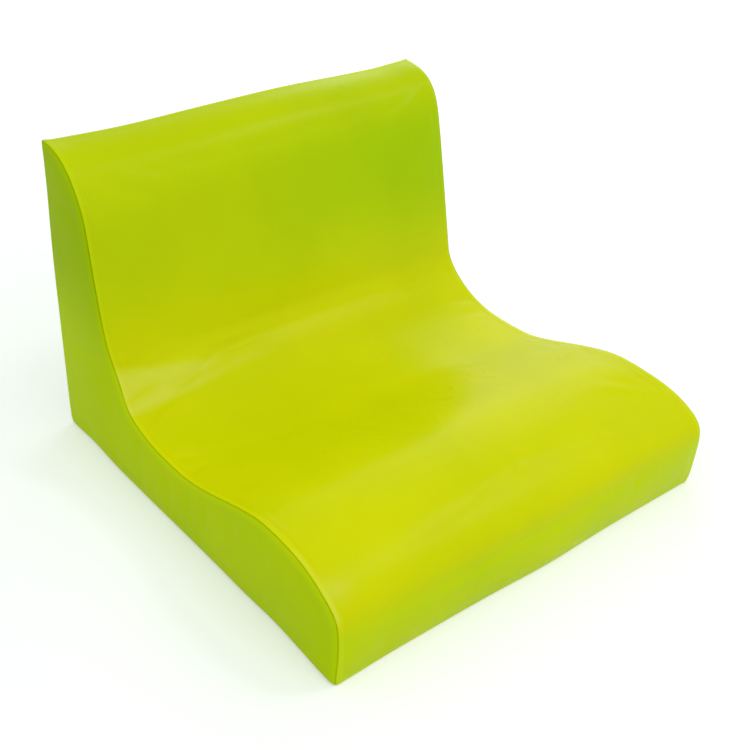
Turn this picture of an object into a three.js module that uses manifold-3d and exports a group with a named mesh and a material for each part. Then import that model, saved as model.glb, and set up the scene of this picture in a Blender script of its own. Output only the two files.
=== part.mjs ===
import * as THREE from 'three';
import { mergeVertices } from 'three/addons/utils/BufferGeometryUtils.js';
import Module from 'manifold-3d';

// A low foam chair for children: two glued foam blocks in a sewn cover of coated cloth that
// comes off through a zip across the rear. It has a seat and a backrest, and no arms or legs.
// Millimetres. X runs across the chair, the front faces -Y, +Z is up, and the origin is on
// the floor under the middle of the chair. Left and right are as seen from the front.

// Overall size
const chairWidth = 600;
const chairDepth = 612;
const chairHeight = 418;

// Side outline of the chair, from the foot of the front face to the top of the rear
const frontDrawIn = 3;
const frontFaceBend = 25;
const frontFaceHeight = 59;
const noseSetback = 24;
const noseHeight = 103;
const noseSlopeDegrees = 31;
const crestSetback = 133;
const crestHeight = 127;
const dipSetback = 310;
const dipHeight = 87;
const backFootThickness = 132;
const backFootHeight = 159;
const backReclineDegrees = 12.3;
const topRollHeight = 110;
const topEndSlopeDegrees = 1;

// How far each bend of the outline pulls, as a share of the straight line it replaces
const noseUnderShares = [0.42, 0.5];
const noseOverShares = [0.28, 0.47];
const seatShares = [0.25, 0.23];
const backFootShares = [0.45, 0.24];
const topRollShares = [0.5, 0.44];

// Points along each stretch: front face, under the nose, over it, seat, back foot, back, top
const stretchSteps = [2, 4, 5, 7, 9, 2, 9];
const dipToGlueSteps = 5;
const topEdgeSteps = 2;

// Cover
const coverThickness = 1.2;
const panelGap = 0.3;
const sideSwell = 4;
const sideSwellReach = 40;
const rearSwell = 4;
const rearSwellReach = 80;
const rearFlatMargin = 14;
const surfaceCrown = 2.5;
const edgeRoll = 1.5;
const acrossShares = [0, 0.41, 0.78, 1];
const sideMargin = 8;
const sideSteps = 7;
const rearEndHeight = 330;
const rearSteps = 8;

// Sewing thread along the two side seams, and in the two rows beside the zip
const threadSize = 0.9;
const threadInset = 2;
const stitchProud = 0.5;
const stitchWidth = 0.8;
const stitchFromZip = 8;
const stitchEndInset = 6;

// Zip across the rear
const zipHeight = 62;
const zipWindow = 10;
const tapeThickness = 0.7;
const tapeWidth = 15;
const tapeEndGap = 0.5;
const coilWidth = 2.2;
const coilThickness = 1.7;
const coilEndInset = 36;
const coilSpacing = 1.8;
const stopLength = 4;
const grooveSlope = 1;

// Zip slider and its pull tab
const sliderLength = 11;
const sliderPlate = 0.9;
const sliderLip = 0.8;
const sliderCorner = 1.6;
const postLength = 3;
const crownLength = 6.4;
const crownWidth = 2.4;
const crownWall = 0.8;
const crownHeight = 2.6;
const sliderTopCut = 0.2;
const tabLength = 27;
const tabEyeWidth = 6;
const tabEndWidth = 8;
const tabThickness = 1;
const tabWindowLength = 3.6;
const tabHoleWidth = 3.6;
const tabHoleLength = 9;
const tabHoleInset = 3;
const tabShoulder = 7;
const tabCurveSteps = 8;

// Places that follow from the sizes above
const coverClear = coverThickness + panelGap;
const sheetHalf = chairWidth / 2 - sideSwell;
const rearPlane = chairDepth - rearSwell;
const sideInset = edgeRoll + coverClear;
const threadOuter = sheetHalf - coverClear - panelGap;
const foamHalf = threadOuter - threadSize - panelGap;
const foamRear = rearPlane - coverClear;
const tapeOuter = foamRear;
const tapeInner = tapeOuter - tapeThickness;
const coilOuter = tapeOuter + coilThickness;
const coilNear = coilSpacing / 2;
const coilFar = coilNear + coilWidth;
const coilEnd = sheetHalf - coilEndInset;
const sliderHalfWidth = coilFar + panelGap + sliderLip;
const sliderBackOuter = tapeInner - panelGap;
const sliderBackInner = sliderBackOuter - sliderPlate;
const sliderTopInner = coilOuter + panelGap;
const sliderTopOuter = sliderTopInner + sliderPlate;
const sliderX = coilEnd - sliderLength / 2 - panelGap;
const crownOuter = sliderTopOuter + crownHeight;
const tabAxisY = sliderTopOuter + (crownHeight - crownWall) / 2;
const grooveDepth = foamRear - sliderBackInner + panelGap;
const grooveHalf = tapeWidth + coilNear + panelGap;

// The outline itself, in the plane of depth and height, with its ways as slopes over level
function headed(slopeDegrees) {
  const slope = THREE.MathUtils.degToRad(slopeDegrees);
  return new THREE.Vector2(Math.cos(slope), Math.sin(slope));
}

const uprightDegrees = 90;
const upward = headed(uprightDegrees);
const level = headed(0);
const alongNose = headed(noseSlopeDegrees);
const alongBack = headed(uprightDegrees - backReclineDegrees);
const alongTop = headed(topEndSlopeDegrees);

const footPoint = new THREE.Vector2(chairDepth - backFootThickness, backFootHeight);
const rollPoint = footPoint.clone();
const backRise = chairHeight - topRollHeight - footPoint.y;
rollPoint.addScaledVector(alongBack, backRise / alongBack.y);

function bend(start, startWay, end, endWay, shares) {
  const span = start.distanceTo(end);
  const leave = start.clone().addScaledVector(startWay, shares[0] * span);
  const arrive = end.clone().addScaledVector(endWay, -shares[1] * span);
  return new THREE.CubicBezierCurve(start, leave, arrive, end);
}

const frontFoot = new THREE.Vector2(frontDrawIn, coverClear);
const frontTop = new THREE.Vector2(0, frontFaceHeight);
const nose = new THREE.Vector2(noseSetback, noseHeight);
const crest = new THREE.Vector2(crestSetback, crestHeight);
const dip = new THREE.Vector2(dipSetback, dipHeight);
const topEnd = new THREE.Vector2(rearPlane, chairHeight);
const stretches = [
  new THREE.QuadraticBezierCurve(frontFoot, new THREE.Vector2(0, frontFaceBend), frontTop),
  bend(frontTop, upward, nose, alongNose, noseUnderShares),
  bend(nose, alongNose, crest, level, noseOverShares),
  bend(crest, level, dip, level, seatShares),
  bend(dip, level, footPoint, alongBack, backFootShares),
  new THREE.LineCurve(footPoint, rollPoint),
  bend(rollPoint, alongBack, topEnd, alongTop, topRollShares),
];

const stations = [];
stretches.forEach((stretch, order) => {
  const steps = stretchSteps[order];
  for (let step = order === 0 ? 0 : 1; step <= steps; step += 1) {
    const point = stretch.getPoint(step / steps);
    const along = stretch.getTangent(step / steps);
    stations.push({ point, outward: new THREE.Vector2(-along.y, along.x) });
  }
});

function stepsThrough(count) {
  return stretchSteps.slice(0, count).reduce((total, steps) => total + steps, 0);
}

const faceStation = stepsThrough(1);
const glueStation = stepsThrough(4) + dipToGlueSteps;
const footStation = stepsThrough(5);
const lastStation = stations.length - 1;
const topEdgeStation = lastStation - topEdgeSteps;

// Height of a cover surface over the flat outline: a slight crown, and a rolled edge
function edgeDrop(x) {
  const over = Math.max(0, Math.abs(x) - foamHalf) / (sheetHalf - foamHalf);
  return edgeRoll * over * over;
}

function crownAt(station, x) {
  const seatShare = (station - faceStation) / (glueStation - faceStation);
  const backShare = (station - glueStation) / (lastStation - glueStation);
  const share = station < glueStation ? Math.max(0, seatShare) : backShare;
  const acrossShare = Math.max(0, 1 - (x / foamHalf) ** 2);
  return surfaceCrown * Math.sin(Math.PI * share) * acrossShare - edgeDrop(x);
}

function onCover(station, x, depth) {
  const { point, outward } = stations[station];
  const rise = crownAt(station, x) - depth;
  return [x, point.x + outward.x * rise, point.y + outward.y * rise];
}

const foamAcross = [];
acrossShares.slice(1).reverse().forEach((share) => foamAcross.push(-share * foamHalf));
acrossShares.forEach((share) => foamAcross.push(share * foamHalf));
const halfRoll = (foamHalf + sheetHalf) / 2;
const coverAcross = [-sheetHalf, -halfRoll, ...foamAcross, halfRoll, sheetHalf];

// Solids made from a block of grid cells, each corner of which is put in its place
function gridSolid(columns, rows, layers, place) {
  const geometry = new THREE.BoxGeometry(columns, rows, layers, columns, rows, layers);
  geometry.deleteAttribute('normal');
  geometry.deleteAttribute('uv');
  const corners = geometry.getAttribute('position');
  for (let corner = 0; corner < corners.count; corner += 1) {
    const column = Math.round(corners.getX(corner) + columns / 2);
    const row = Math.round(corners.getY(corner) + rows / 2);
    const layer = Math.round(corners.getZ(corner) + layers / 2);
    corners.setXYZ(corner, ...place(column, row, layer));
  }
  return facingOut(mergeVertices(geometry));
}

function facingOut(geometry) {
  if (signedVolume(geometry) < 0) {
    geometry.setIndex(Array.from(geometry.index.array).reverse());
  }
  geometry.computeVertexNormals();
  return geometry;
}

function signedVolume(geometry) {
  const corners = geometry.getAttribute('position');
  const [a, b, c] = [new THREE.Vector3(), new THREE.Vector3(), new THREE.Vector3()];
  let total = 0;
  for (let place = 0; place < geometry.index.count; place += 3) {
    a.fromBufferAttribute(corners, geometry.index.getX(place));
    b.fromBufferAttribute(corners, geometry.index.getX(place + 1));
    c.fromBufferAttribute(corners, geometry.index.getX(place + 2));
    total += a.dot(b.cross(c)) / 6;
  }
  return total;
}

function between(low, high, share) {
  return low + (high - low) * share;
}

// Even steps from low to high, with the first and the last step set to a margin
function spread(step, steps, low, high, margin) {
  if (step === 0) return low;
  if (step === steps) return high;
  return between(low + margin, high - margin, (step - 1) / (steps - 2));
}

function swell(distance, reach, height) {
  const left = 1 - Math.min(Math.max(distance, 0), reach) / reach;
  return height * (1 - left * left);
}

// Foam: a seat block the full depth of the chair, and a back block glued on it
function foamSeatBlock() {
  const columns = glueStation - faceStation + 1;
  const glueHeight = onCover(glueStation, 0, coverClear)[2];
  const levels = [
    [coverClear, 0],
    [zipHeight - grooveHalf - grooveSlope, 0],
    [zipHeight - grooveHalf, grooveDepth],
    [zipHeight + grooveHalf, grooveDepth],
    [zipHeight + grooveHalf + grooveSlope, 0],
    [glueHeight, 0],
  ];
  return gridSolid(columns, levels.length - 1, foamAcross.length - 1, (column, row, layer) => {
    const x = foamAcross[layer];
    const atRear = column === columns;
    const top = atRear ? [x, foamRear, glueHeight] : onCover(faceStation + column, x, coverClear);
    const share = (levels[row][0] - coverClear) / (glueHeight - coverClear);
    const y = atRear ? foamRear - levels[row][1] : top[1];
    const foot = column === 0 ? frontDrawIn * (1 - share) : 0;
    return [x, y + foot, between(coverClear, top[2], share)];
  });
}

function foamBackBlock() {
  const rows = topEdgeStation - glueStation;
  const foot = onCover(glueStation, 0, coverClear)[2] + panelGap;
  const top = onCover(lastStation, 0, coverClear)[2];
  return gridSolid(1, rows, foamAcross.length - 1, (column, row, layer) => {
    const x = foamAcross[layer];
    if (column === 1) return [x, foamRear, between(foot, top, row / rows)];
    const front = onCover(glueStation + row, x, coverClear);
    return row === 0 ? [x, front[1], foot] : front;
  });
}

// Cover: one strip runs up the front, over the seat and up the backrest to the top rear edge
function mainPanel() {
  return gridSolid(coverAcross.length - 1, lastStation, 1, (column, row, layer) => (
    onCover(row, coverAcross[column], layer * coverThickness)
  ));
}

// A closed side outline, set in from the front, seat, back and rear, over a lowest height
function sideLoop(inset, floor) {
  const loop = stations.map((station, order) => {
    const [, y, z] = onCover(order, foamHalf, inset);
    return new THREE.Vector2(Math.min(y, rearPlane - inset), Math.max(z, floor));
  });
  loop[0].y = floor;
  loop.push(new THREE.Vector2(rearPlane - inset, floor));
  return loop;
}

const sideEdge = sideLoop(sideInset, coverClear);

function distanceToSideEdge(y, z) {
  const here = new THREE.Vector3(y, z, 0);
  const nearest = new THREE.Vector3();
  let least = Infinity;
  sideEdge.forEach((corner, order) => {
    const next = sideEdge[(order + 1) % sideEdge.length];
    const edge = new THREE.Line3(
      new THREE.Vector3(corner.x, corner.y, 0),
      new THREE.Vector3(next.x, next.y, 0),
    );
    edge.closestPointToPoint(here, true, nearest);
    least = Math.min(least, nearest.distanceTo(here));
  });
  return least;
}

function sidePanel(side) {
  const columns = lastStation - faceStation;
  const turn = footStation - faceStation;
  const rear = rearPlane - sideInset;
  const lengthTo = [0];
  for (let column = 1; column <= columns; column += 1) {
    const place = faceStation + column;
    lengthTo.push(lengthTo[column - 1] + sideEdge[place].distanceTo(sideEdge[place - 1]));
  }
  return gridSolid(columns, sideSteps, 1, (column, row, layer) => {
    const high = sideEdge[faceStation + column];
    const low = new THREE.Vector2(rear, coverClear);
    if (column < turn) {
      low.x = between(sideEdge[0].x, rear, lengthTo[column] / lengthTo[turn]);
    } else {
      const share = (lengthTo[column] - lengthTo[turn]) / (lengthTo[columns] - lengthTo[turn]);
      low.y = between(coverClear, rearEndHeight, share);
    }
    const share = spread(row, sideSteps, 0, low.distanceTo(high), sideMargin) / low.distanceTo(high);
    const y = between(low.x, high.x, share);
    const z = between(low.y, high.y, share);
    const rise = swell(distanceToSideEdge(y, z), sideSwellReach, sideSwell);
    return [side * (sheetHalf + rise - layer * coverThickness), y, z];
  });
}

function rearPanelUpper() {
  const foot = zipHeight + zipWindow / 2;
  return gridSolid(coverAcross.length - 1, rearSteps, 1, (column, row, layer) => {
    const x = coverAcross[column];
    const top = topEnd.y - edgeDrop(x) - coverClear;
    const z = spread(row, rearSteps, foot, top, rearFlatMargin);
    const inside = Math.min(sheetHalf - Math.abs(x), z - foot, top - z) - rearFlatMargin;
    const bulge = swell(inside, rearSwellReach, rearSwell) - edgeDrop(x);
    return [x, rearPlane + bulge - layer * coverThickness, z];
  });
}

function rearPanelLower() {
  const top = zipHeight - zipWindow / 2;
  return gridSolid(coverAcross.length - 1, 1, 1, (column, row, layer) => {
    const x = coverAcross[column];
    return [x, rearPlane - edgeDrop(x) - layer * coverThickness, row ? top : coverClear];
  });
}

function block(lowX, highX, lowY, highY, lowZ, highZ) {
  const shape = new THREE.BoxGeometry(highX - lowX, highY - lowY, highZ - lowZ);
  shape.translate((lowX + highX) / 2, (lowY + highY) / 2, (lowZ + highZ) / 2);
  return shape;
}

function basePanel() {
  return block(-sheetHalf, sheetHalf, frontDrawIn, rearPlane, 0, coverThickness);
}

// A closed ring that joins each four-cornered section to the next
function ringSolid(sections) {
  const corners = sections.flat(2);
  const faces = [];
  sections.forEach((section, order) => {
    const here = order * section.length;
    const next = ((order + 1) % sections.length) * section.length;
    section.forEach((_, corner) => {
      const after = (corner + 1) % section.length;
      faces.push(here + corner, next + corner, next + after);
      faces.push(here + corner, next + after, here + after);
    });
  });
  const geometry = new THREE.BufferGeometry();
  geometry.setAttribute('position', new THREE.Float32BufferAttribute(corners, 3));
  geometry.setIndex(faces);
  return facingOut(geometry);
}

function seamThread(side) {
  const floor = coverClear + panelGap;
  const outer = sideLoop(threadInset, floor);
  const inner = sideLoop(threadInset + threadSize, floor + threadSize);
  const [near, far] = [side * (threadOuter - threadSize), side * threadOuter];
  return ringSolid(outer.map((corner, order) => [
    [near, corner.x, corner.y],
    [far, corner.x, corner.y],
    [far, inner[order].x, inner[order].y],
    [near, inner[order].x, inner[order].y],
  ]));
}

// Zip: each half has its tape, its coil and a row of stitches that holds it to the cover
function zipRow(side, near, far, lowY, highY, lowX, highX) {
  const [lowZ, highZ] = side > 0 ? [near, far] : [-far, -near];
  return block(lowX, highX, lowY, highY, zipHeight + lowZ, zipHeight + highZ);
}

function zipStitching(side) {
  const end = foamHalf - stitchEndInset;
  const near = stitchFromZip - stitchWidth / 2;
  return zipRow(side, near, near + stitchWidth, rearPlane, rearPlane + stitchProud, -end, end);
}

function zipTape(side) {
  const end = foamHalf - tapeEndGap;
  return zipRow(side, coilNear, coilNear + tapeWidth, tapeInner, tapeOuter, -end, end);
}

function zipCoil(side) {
  return zipRow(side, coilNear, coilFar, tapeOuter, coilOuter, -coilEnd, coilEnd);
}

function topStop(side) {
  const start = coilEnd + panelGap;
  return zipRow(side, coilNear, coilFar, tapeOuter, coilOuter, start, start + stopLength);
}

function endStop() {
  const start = -coilEnd - panelGap;
  const [low, high] = [zipHeight - coilFar, zipHeight + coilFar];
  return block(start - stopLength, start, tapeOuter, coilOuter, low, high);
}

// Flat outlines across and along the zip, pulled out of the rear plane
const outOfRear = new THREE.Matrix4().makeBasis(
  new THREE.Vector3(0, 0, 1),
  new THREE.Vector3(1, 0, 0),
  new THREE.Vector3(0, 1, 0),
);

function pulledOut(shape, depth) {
  const settings = { depth, bevelEnabled: false, curveSegments: tabCurveSteps };
  return new THREE.ExtrudeGeometry(shape, settings).applyMatrix4(outOfRear);
}

// Zip slider: plates in front of and behind the coils, joined by a post that runs between
const wasm = await Module();
wasm.setup();

function toSolid(geometry) {
  const bare = geometry.clone();
  bare.deleteAttribute('normal');
  bare.deleteAttribute('uv');
  const merged = mergeVertices(bare);
  return new wasm.Manifold(new wasm.Mesh({
    numProp: 3,
    vertProperties: new Float32Array(merged.getAttribute('position').array),
    triVerts: new Uint32Array(merged.index.array),
  }));
}

function joined(shapes) {
  const solid = shapes.map(toSolid).reduce((whole, piece) => whole.add(piece));
  const mesh = solid.getMesh();
  const geometry = new THREE.BufferGeometry();
  geometry.setAttribute('position', new THREE.BufferAttribute(mesh.vertProperties, 3));
  geometry.setIndex(new THREE.BufferAttribute(mesh.triVerts, 1));
  geometry.computeVertexNormals();
  return geometry;
}

function cornered(halfAcross, halfAlong, corner) {
  const shape = new THREE.Shape();
  shape.moveTo(halfAcross, -halfAlong + corner);
  shape.lineTo(halfAcross, halfAlong - corner);
  shape.lineTo(halfAcross - corner, halfAlong);
  shape.lineTo(-halfAcross + corner, halfAlong);
  shape.lineTo(-halfAcross, halfAlong - corner);
  shape.lineTo(-halfAcross, -halfAlong + corner);
  shape.lineTo(-halfAcross + corner, -halfAlong);
  shape.lineTo(halfAcross - corner, -halfAlong);
  return shape;
}

function zipSlider() {
  const plate = cornered(sliderHalfWidth, sliderLength / 2, sliderCorner);
  const frontPlate = pulledOut(plate, sliderPlate).translate(0, sliderTopInner, 0);
  const backPlate = pulledOut(plate, sliderPlate).translate(0, sliderBackInner, 0);
  const postHalf = coilNear - panelGap;
  const post = block(0, postLength, sliderBackInner, sliderTopOuter, -postHalf, postHalf);
  const lipEnd = sliderLength / 2 - sliderCorner;
  const lipLow = sliderHalfWidth - sliderLip;
  const lipFoot = tapeOuter + panelGap;
  const lips = [[lipLow, sliderHalfWidth], [-sliderHalfWidth, -lipLow]].map(([low, high]) => (
    block(-lipEnd, lipEnd, lipFoot, sliderTopOuter - sliderTopCut, low, high)
  ));
  const legs = [-crownLength / 2, crownLength / 2 - crownWall].map((start) => (
    block(start, start + crownWall, sliderTopInner, crownOuter, -crownWidth / 2, crownWidth / 2)
  ));
  const bridge = block(
    -crownLength / 2,
    crownLength / 2,
    crownOuter - crownWall,
    crownOuter,
    -crownWidth / 2,
    crownWidth / 2,
  );
  return joined([frontPlate, backPlate, post, ...lips, ...legs, bridge]);
}

// The tab's inner end is a bar under the slider's crown, and its window clears the crown
function pullTab() {
  const bar = tabThickness / 2;
  const shape = new THREE.Shape();
  shape.moveTo(tabEyeWidth / 2, bar);
  shape.lineTo(-tabEyeWidth / 2, bar);
  shape.lineTo(-tabEyeWidth / 2, -tabShoulder);
  shape.lineTo(-tabEndWidth / 2, -tabShoulder - tabEndWidth / 2);
  shape.lineTo(-tabEndWidth / 2, -tabLength + tabEndWidth / 2);
  shape.absarc(0, -tabLength + tabEndWidth / 2, tabEndWidth / 2, Math.PI, Math.PI * 2, false);
  shape.lineTo(tabEndWidth / 2, -tabShoulder - tabEndWidth / 2);
  shape.lineTo(tabEyeWidth / 2, -tabShoulder);
  const windowHalf = crownWidth / 2 + panelGap;
  const eye = new THREE.Path();
  eye.moveTo(-windowHalf, -bar);
  eye.lineTo(windowHalf, -bar);
  eye.lineTo(windowHalf, -bar - tabWindowLength);
  eye.lineTo(-windowHalf, -bar - tabWindowLength);
  const holeHalf = tabHoleWidth / 2;
  const holeEnd = -tabLength + tabHoleInset + holeHalf;
  const hole = new THREE.Path();
  hole.absarc(0, holeEnd, holeHalf, Math.PI, Math.PI * 2, false);
  hole.absarc(0, holeEnd + tabHoleLength - tabHoleWidth, holeHalf, 0, Math.PI, false);
  shape.holes.push(eye, hole);
  return pulledOut(shape, tabThickness).translate(0, -tabThickness / 2, 0);
}

// Colours and finishes
const lime = { color: 0xb5cb08, roughness: 0.38, metalness: 0 };
const finishes = {
  foam: { color: 0xe9e3cf, roughness: 0.95, metalness: 0 },
  base: { color: 0x8f9a2a, roughness: 0.85, metalness: 0 },
  thread: { color: 0x9fb414, roughness: 0.7, metalness: 0 },
  tape: { color: 0x93a51c, roughness: 0.9, metalness: 0 },
  coil: { color: 0x7f9212, roughness: 0.45, metalness: 0 },
  metal: { color: 0xa8abae, roughness: 0.35, metalness: 1 },
};

const chair = new THREE.Group();
chair.position.y = -chairDepth / 2;

function addPiece(name, geometry, finish, parent = chair) {
  const mesh = new THREE.Mesh(geometry, new THREE.MeshStandardMaterial(finish));
  mesh.name = name;
  parent.add(mesh);
}

addPiece('foam_seat_block', foamSeatBlock(), finishes.foam);
addPiece('foam_back_block', foamBackBlock(), finishes.foam);
addPiece('cover_main_panel', mainPanel(), lime);
addPiece('cover_side_panel_left', sidePanel(-1), lime);
addPiece('cover_side_panel_right', sidePanel(1), lime);
addPiece('cover_rear_panel_upper', rearPanelUpper(), lime);
addPiece('cover_rear_panel_lower', rearPanelLower(), lime);
addPiece('cover_base_panel', basePanel(), finishes.base);
addPiece('side_seam_thread_left', seamThread(-1), finishes.thread);
addPiece('side_seam_thread_right', seamThread(1), finishes.thread);
addPiece('zip_stitching_upper', zipStitching(1), finishes.thread);
addPiece('zip_stitching_lower', zipStitching(-1), finishes.thread);
addPiece('zip_tape_upper', zipTape(1), finishes.tape);
addPiece('zip_tape_lower', zipTape(-1), finishes.tape);
addPiece('zip_coil_upper', zipCoil(1), finishes.coil);
addPiece('zip_coil_lower', zipCoil(-1), finishes.coil);
addPiece('zip_end_stop', endStop(), finishes.metal);
addPiece('zip_top_stop_upper', topStop(1), finishes.metal);
addPiece('zip_top_stop_lower', topStop(-1), finishes.metal);

const slider = new THREE.Group();
slider.position.set(sliderX, 0, zipHeight);
chair.add(slider);
addPiece('zip_slider', zipSlider(), finishes.metal, slider);

const tab = new THREE.Group();
tab.position.y = tabAxisY;
slider.add(tab);
addPiece('zip_pull_tab', pullTab(), finishes.metal, tab);

export default chair;
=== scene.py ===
from math import cos, exp, pi, radians, sin, sqrt

import bmesh
import bpy
import numpy as np
from mathutils import Matrix, Vector
from mathutils.geometry import interpolate_bezier


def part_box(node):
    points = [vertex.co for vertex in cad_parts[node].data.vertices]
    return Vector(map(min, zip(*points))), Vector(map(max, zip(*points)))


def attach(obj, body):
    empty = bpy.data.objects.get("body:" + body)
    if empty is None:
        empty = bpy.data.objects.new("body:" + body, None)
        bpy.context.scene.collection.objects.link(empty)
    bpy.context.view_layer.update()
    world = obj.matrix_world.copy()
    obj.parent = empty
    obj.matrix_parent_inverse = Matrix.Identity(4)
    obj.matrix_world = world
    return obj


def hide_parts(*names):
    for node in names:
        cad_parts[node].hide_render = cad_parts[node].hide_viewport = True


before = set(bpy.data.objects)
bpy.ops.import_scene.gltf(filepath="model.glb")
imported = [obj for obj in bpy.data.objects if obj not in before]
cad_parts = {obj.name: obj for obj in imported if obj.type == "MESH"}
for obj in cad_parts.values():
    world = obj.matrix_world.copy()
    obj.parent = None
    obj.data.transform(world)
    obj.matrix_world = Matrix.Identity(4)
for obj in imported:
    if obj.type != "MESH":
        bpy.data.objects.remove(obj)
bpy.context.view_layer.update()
scene = bpy.context.scene
mm = 0.001


# Camera
# It stands in front of the chair to the left, above the seat, and looks down on it. The lens
# shift puts the chair a little off the middle of the picture, as the photograph has it.
camera_place = Vector((-0.816, -0.9324, 0.8796))
camera_around = radians(-38.493)
camera_raised = radians(30.253)
camera_rolled = radians(1.472)

backward = Vector((
    sin(camera_around) * cos(camera_raised),
    -cos(camera_around) * cos(camera_raised),
    sin(camera_raised),
))
level_right = (-backward).cross(Vector((0, 0, 1))).normalized()
level_up = level_right.cross(-backward)
camera_right = level_right * cos(camera_rolled) + level_up * sin(camera_rolled)
camera_up = level_up * cos(camera_rolled) - level_right * sin(camera_rolled)

camera_data = bpy.data.cameras.new("camera")
camera_data.sensor_width = 36
camera_data.lens = 52.81
camera_data.shift_x = 0.06
camera_data.shift_y = -0.0333
camera_data.clip_start = 0.01
camera = bpy.data.objects.new("camera", camera_data)
scene.collection.objects.link(camera)
camera_turn = Matrix((camera_right, camera_up, backward)).transposed().to_4x4()
camera.matrix_world = Matrix.Translation(camera_place) @ camera_turn
scene.camera = camera


# Floor, backdrop and lights
# A plain pale floor that runs out to a white backdrop. A warm soft light hangs overhead, with
# fills in front and on the left. A far high softbox puts a sheen along the nose, and one
# behind on the right puts a sheen on the seat.
def set_inputs(tree, node, values):
    """Links each input of a node to the socket given for it, or sets it to a constant."""
    for place, value in values.items():
        socket = node.inputs[place]
        if isinstance(value, bpy.types.NodeSocket):
            tree.links.new(value, socket)
        else:
            socket.default_value = value


def add_node(tree, kind, inputs=None, **settings):
    node = tree.nodes.new("ShaderNode" + kind)
    for name, value in settings.items():
        setattr(node, name, value)
    set_inputs(tree, node, inputs or {})
    return node


def maths(tree, operation, *values, clamped=False):
    return add_node(
        tree, "Math", dict(enumerate(values)), operation=operation, use_clamp=clamped,
    ).outputs[0]


def fade(tree, value, start, end, low=0.0, high=1.0):
    """A soft change from low to high, while the value goes from start to end."""
    return add_node(tree, "MapRange", {
        "Value": value, "From Min": start, "From Max": end, "To Min": low, "To Max": high,
    }, interpolation_type="SMOOTHSTEP").outputs[0]


def mixed(tree, share, first, second):
    return add_node(
        tree, "Mix", {"Factor": share, 6: first, 7: second}, data_type="RGBA",
    ).outputs[2]


def scaled(tree, colour, factor):
    return add_node(
        tree, "VectorMath", {0: colour, "Scale": factor}, operation="SCALE",
    ).outputs[0]


def raised(tree, height, strength, distance, **settings):
    """The way a surface faces where a height is pressed into it."""
    return add_node(tree, "Bump", {
        "Height": height, "Strength": strength, "Distance": distance,
    }, **settings).outputs[0]


def plain(*rgb):
    """A colour given as it looks on a screen, as the shader's own numbers."""
    return [
        (value / 12.92) if value <= 0.04045 else ((value + 0.055) / 1.055) ** 2.4
        for value in (part / 255 for part in rgb)
    ] + [1.0]


def seen_directly(tree):
    """1 where the camera, a gloss or clear plastic sees the surface, and 0 for its light."""
    path = add_node(tree, "LightPath").outputs
    gloss = maths(tree, "ADD", path["Is Camera Ray"], path["Is Glossy Ray"])
    return maths(tree, "ADD", gloss, path["Is Transmission Ray"], clamped=True)


floor_shape = bmesh.new()
bmesh.ops.create_grid(floor_shape, x_segments=4, y_segments=4, size=9)
floor_mesh = bpy.data.meshes.new("floor")
floor_shape.to_mesh(floor_mesh)
floor_shape.free()
floor = bpy.data.objects.new("floor", floor_mesh)
scene.collection.objects.link(floor)

floor_material = bpy.data.materials.new("pale floor")
floor_material.use_nodes = True
floor_tree = floor_material.node_tree
floor_tree.nodes.clear()
floor_place = add_node(floor_tree, "TexCoord").outputs["Object"]
floor_distance = add_node(floor_tree, "VectorMath", {0: floor_place}, operation="LENGTH")
floor_level = fade(floor_tree, floor_distance.outputs["Value"], 0.5, 3.0, 0.3, 0.55)
floor_lit = add_node(floor_tree, "BsdfDiffuse", {"Color": plain(232, 232, 232)})
floor_shown = maths(floor_tree, "MULTIPLY", seen_directly(floor_tree), floor_level)
floor_glow = add_node(floor_tree, "Emission", {"Strength": floor_shown})
floor_sum = add_node(floor_tree, "AddShader", {
    0: floor_lit.outputs[0], 1: floor_glow.outputs[0],
})
add_node(floor_tree, "OutputMaterial", {"Surface": floor_sum.outputs[0]})
floor_mesh.materials.append(floor_material)

backdrop = bpy.data.worlds.new("white backdrop")
backdrop.use_nodes = True
backdrop_tree = backdrop.node_tree
backdrop_tree.nodes.clear()
ambient_level = 0.73
ambient_tint = (0.9, 1.0, 0.97, 1)
looking = add_node(backdrop_tree, "TexCoord").outputs["Generated"]
upward = add_node(backdrop_tree, "SeparateXYZ", {0: looking}).outputs["Z"]
ceiling = fade(backdrop_tree, upward, 0.45, 0.85, 1.0, 0.35)
backdrop_strength = add_node(backdrop_tree, "MapRange", {
    "Value": seen_directly(backdrop_tree), "To Min": ambient_level, "To Max": ceiling,
})
backdrop_colour = mixed(
    backdrop_tree, seen_directly(backdrop_tree), ambient_tint, (1, 1, 1, 1),
)
backdrop_glow = add_node(backdrop_tree, "Background", {
    "Color": backdrop_colour, "Strength": backdrop_strength.outputs[0],
})
add_node(backdrop_tree, "OutputWorld", {"Surface": backdrop_glow.outputs[0]})
scene.world = backdrop


def add_softbox(name, place, aim, size, watts, tint=(1, 1, 1)):
    data = bpy.data.lights.new(name, "AREA")
    data.shape = "SQUARE"
    data.size = size
    data.energy = watts
    data.color = tint
    lamp = bpy.data.objects.new(name, data)
    scene.collection.objects.link(lamp)
    facing = (Vector(aim) - Vector(place)).to_track_quat("-Z", "Y")
    lamp.matrix_world = Matrix.Translation(place) @ facing.to_matrix().to_4x4()


add_softbox("overhead light", (-0.3, -0.6, 2.0), (0, 0, 0.1), 1.7, 2.8, (1, 0.86, 0.72))
add_softbox("front light", (-0.1, -1.7, 1.7), (0, 0, 0.1), 1.0, 4.7, (1, 0.98, 0.94))
add_softbox("left fill", (-2.4, 0.2, 0.9), (0, 0, 0.15), 1.4, 4)
add_softbox("high softbox", (2.11, -1.17, 3.3), (-0.1, -0.25, 0.1), 0.95, 17)
add_softbox("rear right softbox", (1.7, 1.33, 1.28), (0, 0, 0.15), 1.2, 7.2)

scene.view_settings.view_transform = "Standard"


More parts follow.
